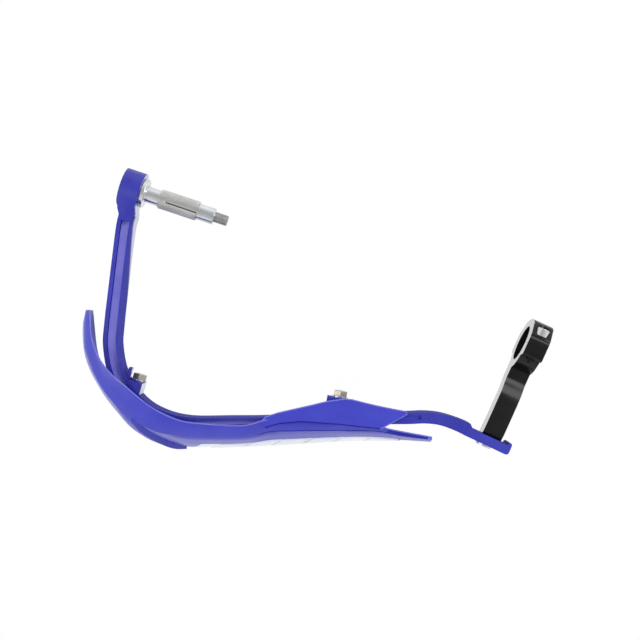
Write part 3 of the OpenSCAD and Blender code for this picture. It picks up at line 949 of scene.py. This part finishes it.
@dataclass
class Shield(Assembly):
    """The blue shield with its pale blocks, a painted highlight bead and a painted shadow bead.
    """

    edge_mm: float = 0.8
    bead_r_mm: float = 0.55
    bead_sink_mm: float = 0.42
    bead_from_z_mm: float = 5.0
    run_mm: float = 30.0
    front_limit: float = 0.95
    top_limit: float = 0.7
    rim_side_limit: float = 0.35
    flap_top_limit: float = 0.9
    crease_slopes: tuple[float, float] = (0.1, 0.62)
    crease_mm: tuple[float, float] = (-215.0, -105.0)
    tongue_from_mm: float = -112.0
    tip_from_mm: float = -81.8
    tip_limit: float = 0.5
    ledge_end_mm: tuple[float, float] = (-311.1, -55.1)
    ledge_room_mm: float = 4.5
    ledge_top_mm: float = 18.6
    block_edge_mm: float = 0.12
    block_seat_mm: float = 0.48
    block_back_limit: float = -0.3

    def wire(self, name: str, wanted: Callable[[SolidEdge], bool]) -> bpy.types.Mesh:
        """Collect edges of the shield's solid as a wire, sunk a little into it.

        Args:
            name: Name of the wire.
            wanted: Says of an edge whether it belongs to the wire.

        Returns:
            A mesh of those edges alone.
        """
        solid = self.dresser.copy_solid("shield", f"{name}_source")
        work = bmesh.new()
        work.from_mesh(solid.data)
        inward: dict[int, Vector] = {}
        pairs: list[tuple[int, int]] = []
        for edge in work.edges:
            first, second = edge.verts
            if len(edge.link_faces) != 2 or first.co.z < self.bead_from_z_mm * MM:
                continue
            upper, lower = sorted((face.normal for face in edge.link_faces), key=lambda n: -n.z)
            middle = (first.co + second.co) / 2
            if not wanted(SolidEdge(middle.dot(ALONG) / MM, upper, lower)):
                continue
            pairs.append((first.index, second.index))
            for vert in (first, second):
                lean = inward.setdefault(vert.index, Vector())
                lean -= upper + lower
        spots = {index: number for number, index in enumerate(inward)}
        work.verts.ensure_lookup_table()
        mesh = bpy.data.meshes.new(name)
        mesh.from_pydata(
            [
                work.verts[index].co + lean.normalized() * self.bead_sink_mm * MM
                for index, lean in inward.items()
            ],
            [(spots[first], spots[second]) for first, second in pairs],
            [],
        )
        work.free()
        bpy.data.objects.remove(solid)
        self.drop_short_runs(mesh)
        return mesh

    def drop_short_runs(self, mesh: bpy.types.Mesh) -> None:
        """Delete the runs of a wire that are too short for a bead.

        Args:
            mesh: The wire, which is changed.
        """
        work = bmesh.new()
        work.from_mesh(mesh)
        seen: set[bmesh.types.BMVert] = set()
        stray: list[bmesh.types.BMVert] = []
        for start in work.verts:
            if start in seen:
                continue
            run, queue = [start], [start]
            seen.add(start)
            while queue:
                vert = queue.pop()
                for edge in vert.link_edges:
                    other = edge.other_vert(vert)
                    if other not in seen:
                        seen.add(other)
                        run.append(other)
                        queue.append(other)
            length = sum(edge.calc_length() for vert in run for edge in vert.link_edges) / 2
            if length < self.run_mm * MM:
                stray.extend(run)
        bmesh.ops.delete(work, geom=stray, context="VERTS")
        work.to_mesh(mesh)
        work.free()

    def is_rim(self, edge: SolidEdge) -> bool:
        """Tell whether an edge is on the shield's upper rim, which light catches.

        Args:
            edge: The edge.

        Returns:
            Whether it is.
        """
        sharp = edge.upper.z > self.top_limit and abs(edge.lower.z) < self.rim_side_limit
        return sharp and not edge.lower.dot(FRONT) > self.front_limit

    def is_crease(self, edge: SolidEdge) -> bool:
        """Tell whether an edge is the flap's front edge or the crease below it.

        Args:
            edge: The edge.

        Returns:
            Whether it is.
        """
        least, most = self.crease_slopes
        front = abs(edge.lower.z) < least and edge.lower.dot(FRONT) > self.front_limit
        flap = edge.upper.z > self.flap_top_limit and front
        crease = edge.upper.z > self.top_limit and least < edge.lower.z < most
        return flap or (crease and self.crease_mm[0] < edge.reach_mm < self.crease_mm[1])

    def beads(self) -> None:
        """Lay a pale bead along the rim as a painted highlight and a dark one along the crease as
        a painted shadow.
        """
        shape = BeadShape()
        for name, wanted, finish in (
            ("shield_rim_highlight_bead", self.is_rim, HIGHLIGHT_EDGE_BLUE),
            ("shield_crease_shadow_bead", self.is_crease, CREASE_SHADOW_BLUE),
        ):
            bead = shape.make(
                name, Matrix.Identity(4), self.dresser.finishes.get(finish),
                {"Radius": self.bead_r_mm * MM}, self.wire(f"{name}_wire", wanted),
            )
            self.dresser.finish(bead, finish)

    def skin(self) -> None:
        """Dress the shield, with painted highlights on its edges and the tongue's tip, painted
        shade on the tongue's top, and the end of its ledge trimmed.
        """
        # The pale band under the blocks is partly print and partly painted reflection
        self.dresser.finishes.paint_print_reflection_band(SHIELD_BLUE, PALE_BLOCK.colour)
        # The shield's rounded edges take the painted highlight
        skin = self.dresser.dress(
            "shield", SHIELD_BLUE, self.edge_mm, angle=38.0, segments=3,
            edge_finish=HIGHLIGHT_EDGE_BLUE,
        )
        pale, dark = (self.dresser.add(skin, finish) for finish in (HIGHLIGHT_EDGE_BLUE, TONGUE_SHADE_BLUE))
        self.dresser.cut(skin, ALONG * self.tip_from_mm * MM, ALONG)
        # The tongue's top takes the painted shade, its tip and end face the painted highlight
        for face in skin.data.polygons:
            reach = face.center.dot(ALONG) / MM
            if face.normal.z > self.tip_limit and reach > self.tongue_from_mm:
                face.material_index = pale if reach > self.tip_from_mm else dark
            elif face.normal.dot(ALONG) > self.tip_limit and reach > self.tip_from_mm:
                face.material_index = pale
        ledge_end = from_plan(Vector((*self.ledge_end_mm, 0.0)) * MM)
        for vert in skin.data.vertices:
            if (vert.co.xy - ledge_end.xy).length < self.ledge_room_mm * MM:
                vert.co.z = min(vert.co.z, self.ledge_top_mm * MM)

    def blocks(self) -> None:
        """Dress the blocks, blue past the band's end and with their backs seated."""
        blocks = self.dresser.dress("shield_blocks", PALE_BLOCK, self.block_edge_mm)
        blue = self.dresser.add(blocks, SHIELD_BLUE)
        band_end = from_plan(Vector((BAND_END, 0.0, 0.0)))
        past_end = from_plan(Vector((1.0, 0.0, -BAND_LEAN)))
        self.dresser.cut(blocks, band_end, past_end)
        for face in blocks.data.polygons:
            if (face.center - band_end).dot(past_end) > 0.0:
                face.material_index = blue
        behind = {
            index
            for face in blocks.data.polygons
            if face.normal.dot(FRONT) < self.block_back_limit
            for index in face.vertices
        }
        for index in behind:
            blocks.data.vertices[index].co -= FRONT * self.block_seat_mm * MM

    def build(self) -> None:
        """Dress the shield and its blocks."""
        self.beads()
        self.skin()
        self.blocks()


@dataclass
class ShieldFixings(Assembly):
    """Screws, washers, nuts and spacers that hold the shield to the bar."""

    def build(self) -> None:
        """Dress both sets of fixings."""
        for side in ("outer", "inner"):
            for part, finish, edge_mm in (
                ("shield_screw", STAINLESS, 0.3), ("shield_washer", ZINC, 0.2),
                ("shield_nut", PASSIVATED, 0.35), ("spacer", SPACER_GREY, 0.3),
            ):
                self.dresser.dress(f"{side}_{part}", finish, edge_mm)


@dataclass
class BarEnd(Assembly):
    """The bar-end bolt with its collar, split sleeve and wedge nut."""

    sleeve_from_mm: float = 22.9
    sleeve_l_mm: float = 31.4
    sleeve_r_mm: float = 7.4
    slit_turn: float = -12.0
    slit_from_mm: float = 6.0
    slit_half_mm: float = 1.5
    slit_room_mm: float = 0.6
    knurl_margin_mm: float = 0.9
    knurl_lift_mm: float = 0.02
    knurl_around: int = 49
    knurl_along: int = 33
    knurl_twist: float = 30.0
    stud_r_mm: float = 0.52
    stud_top_r_mm: float = 0.12
    stud_h_mm: float = 0.34
    thread_from_mm: float = 68.2
    thread_l_mm: float = 9.6
    thread_r_mm: float = 3.85
    ridge_r_mm: float = 0.5
    pitch_mm: float = 1.25

    @staticmethod
    def place(reach_mm: float) -> Matrix:
        """Give a frame on the bar-end bolt, X along it.

        Args:
            reach_mm: Its distance from the lug's middle.

        Returns:
            The frame.
        """
        return (
            Matrix.Rotation(CLAMP_TURN, 4, "Z")
            @ Matrix.Translation(LUG_CENTRE_PLAN)
            @ Matrix.Rotation(BAR_END_TURN - CLAMP_TURN, 4, "Z")
            @ Matrix.Translation((reach_mm * MM, 0.0, 0.0))
        )

    def screw(self) -> None:
        """Dress the bolt, with its free end in the finish of the thread."""
        screw = self.dresser.dress("bar_end_screw", POLISHED, 0.3)
        threaded = self.dresser.add(screw, THREADED)
        start = self.place(self.thread_from_mm)
        axis = start.to_3x3() @ Vector((1.0, 0.0, 0.0))
        self.dresser.cut(screw, start.translation, axis)
        for face in screw.data.polygons:
            if (face.center - start.translation).dot(axis) > 0.0:
                face.material_index = threaded

    def knurl(self) -> None:
        """Cover the sleeve with studs, apart from its slot."""
        middle = self.sleeve_l_mm / 2
        piece = KnurlShape().make(
            "sleeve_knurl", self.place(self.sleeve_from_mm + middle),
            self.dresser.finishes.get(KNURLED),
            {
                "Radius": (self.sleeve_r_mm + self.knurl_lift_mm) * MM,
                "Length": (self.sleeve_l_mm - 2 * self.knurl_margin_mm) * MM,
                "Around": self.knurl_around, "Along": self.knurl_along,
                "Stud": self.stud_r_mm * MM, "Top": self.stud_top_r_mm * MM,
                "Rise": self.stud_h_mm * MM, "Twist": self.knurl_twist,
                "Slot Angle": math.radians(self.slit_turn),
                "Slot Half": self.slit_half_mm * MM,
                "Slot From": (self.slit_from_mm - middle - self.slit_room_mm) * MM,
            },
        )
        self.dresser.finish(piece, KNURLED)

    def thread(self) -> None:
        """Wind the thread on the free end of the bolt."""
        piece = ThreadShape().make(
            "bar_end_thread",
            self.place(self.thread_from_mm) @ Matrix.Rotation(math.pi / 2, 4, "Y"),
            self.dresser.finishes.get(THREADED),
            {
                "Radius": self.thread_r_mm * MM, "Length": self.thread_l_mm * MM,
                "Turns": self.thread_l_mm / self.pitch_mm, "Ridge": self.ridge_r_mm * MM,
            },
        )
        self.dresser.finish(piece, THREADED)

    def build(self) -> None:
        """Dress the bar-end pieces."""
        self.screw()
        for node, finish, edge_mm in (
            ("bar_end_cup_washer", ZINC, 0.3), ("lug_bush", ZINC, 0.2),
            ("flanged_collar", ZINC, 0.5), ("expander_sleeve", KNURLED, 0.25),
            ("wedge_nut", ZINC, 0.4),
        ):
            self.dresser.dress(node, finish, edge_mm)
        self.knurl()
        self.thread()


@dataclass
class Clamp(Assembly):
    """The black two-piece clamp with its arm and screws, drawn nearly shut."""

    end_limit: float = 0.95
    split_y_mm: float = 0.9
    split_room_mm: float = 0.25
    split_close_mm: float = 0.15

    def half(self, node: str) -> None:
        """Dress one half of the clamp and draw its face at the split to the other half.

        Args:
            node: The half's solid.
        """
        half = self.dresser.dress(node, ANODISED, 0.4)
        side = self.dresser.add(half, ANODISED_SIDE)
        for face in half.data.polygons:
            if abs(face.normal.x) > self.end_limit:
                face.material_index = side
        for vert in half.data.vertices:
            gap = vert.co.y - self.split_y_mm * MM
            if abs(gap) < self.split_room_mm * MM:
                vert.co.y -= math.copysign(self.split_close_mm * MM, gap)

    def build(self) -> None:
        """Dress the clamp and its screws."""
        self.half("clamp_arm")
        self.half("clamp_cap")
        for node, finish, edge_mm in (
            ("upper_clamp_screw", STAINLESS, 0.4), ("lower_clamp_screw", STAINLESS, 0.4),
            ("arm_screw", BRIGHT_STEEL, 0.5), ("arm_washer", BRIGHT_STEEL, 0.3),
        ):
            self.dresser.dress(node, finish, edge_mm)


@dataclass(frozen=True)
class Lamp:
    """A soft square lamp.

    Attributes:
        name: Name of the lamp.
        place: Where it hangs, in metres.
        power: Its power, in watts.
        size: Length of its side, in metres.
    """

    name: str
    place: tuple[float, float, float]
    power: float
    size: float = 0.9


@dataclass
class Studio:
    """Camera, floor and lights."""

    centre_mm: tuple[float, float] = (-165.9, 21.25)
    height: float = 0.895
    lens: float = 63.96
    sensor: float = 36.0
    clip_end: float = 20.0
    floor_size: float = 12.0
    floor_drop: float = 0.22
    floor_grey: float = 0.9
    floor_roughness: float = 0.8
    glow: float = 0.93
    sky_from: float = 0.30
    sky_to: float = 0.95
    horizon: float = 1.15
    zenith: float = 0.52
    aim: tuple[float, float, float] = (-0.17, -0.07, 0.0)
    lamps: tuple[Lamp, ...] = (
        Lamp("key", (0.5, 0.9, 1.3), 12.0),
        Lamp("fill", (-1.1, -0.6, 1.0), 6.0),
    )

    def camera(self) -> None:
        """Place the camera straight above the guard, turned with its plan."""
        data = bpy.data.cameras.new("camera")
        data.lens = self.lens
        data.sensor_width = self.sensor
        data.clip_end = self.clip_end
        camera = bpy.data.objects.new("camera", data)
        centre = from_plan(Vector((*self.centre_mm, 0.0)) * MM)
        camera.location = (centre.x, centre.y, self.height)
        camera.rotation_euler = (0.0, 0.0, CLAMP_TURN)
        bpy.context.collection.objects.link(camera)
        bpy.context.scene.camera = camera

    def floor(self) -> None:
        """Lay a white floor well below the guard, which keeps a faint shadow."""
        bpy.ops.mesh.primitive_plane_add(
            size=self.floor_size, location=(0, 0, -self.floor_drop)
        )
        floor = bpy.context.object
        floor.name = "floor"
        material = bpy.data.materials.new("white_floor")
        material.use_nodes = True
        tree = Tree(material.node_tree)
        shader = tree.data.nodes[PRINCIPLED]
        tree.fill(shader, {
            "Base Color": (*(self.floor_grey,) * 3, 1.0), "Roughness": self.floor_roughness
        })
        path = tree.node("ShaderNodeLightPath").outputs
        seen = tree.sum("MAXIMUM", path["Is Camera Ray"], path["Is Glossy Ray"])
        mix = tree.node(
            "ShaderNodeMixShader",
            {
                "Fac": tree.sum("MULTIPLY", seen, self.glow), 1: shader.outputs["BSDF"],
                2: tree.node("ShaderNodeEmission").outputs["Emission"],
            },
        )
        tree.fill(tree.data.nodes["Material Output"], {"Surface": mix.outputs["Shader"]})
        floor.data.materials.append(material)

    def sky(self) -> None:
        """Set a sky that is pale at the horizon and dim overhead."""
        world = bpy.data.worlds.new("studio")
        world.use_nodes = True
        tree = Tree(world.node_tree)
        place = tree.node("ShaderNodeTexCoord").outputs["Generated"]
        height = tree.node(
            "ShaderNodeMapRange",
            {
                "Value": tree.node("ShaderNodeSeparateXYZ", {"Vector": place}).outputs["Z"],
                "From Min": self.sky_from, "From Max": self.sky_to,
                "To Min": self.horizon, "To Max": self.zenith,
            },
            interpolation_type="SMOOTHSTEP",
        )
        tree.fill(tree.data.nodes["Background"], {
            "Color": (1.0, 1.0, 1.0, 1.0), "Strength": height.outputs["Result"]
        })
        bpy.context.scene.world = world

    def light(self) -> None:
        """Hang the soft lamps and aim them at the guard."""
        for lamp in self.lamps:
            data = bpy.data.lights.new(lamp.name, "AREA")
            data.energy = lamp.power
            data.size = lamp.size
            light = bpy.data.objects.new(lamp.name, data)
            light.location = lamp.place
            aim = Vector(self.aim) - Vector(lamp.place)
            light.rotation_euler = aim.to_track_quat("-Z", "Y").to_euler()
            bpy.context.collection.objects.link(light)

    def build(self) -> None:
        """Set the whole studio."""
        bpy.context.scene.view_settings.view_transform = "Standard"
        self.camera()
        self.floor()
        self.sky()
        self.light()


def main() -> None:
    """Build the studio and dress every sub-assembly in order."""
    Studio().build()
    dresser = Dresser(Finishes())
    for assembly in (
        GuardBar(dresser), Shield(dresser), ShieldFixings(dresser), BarEnd(dresser),
        Clamp(dresser),
    ):
        assembly.build()


if __name__ == "__main__":
    main()
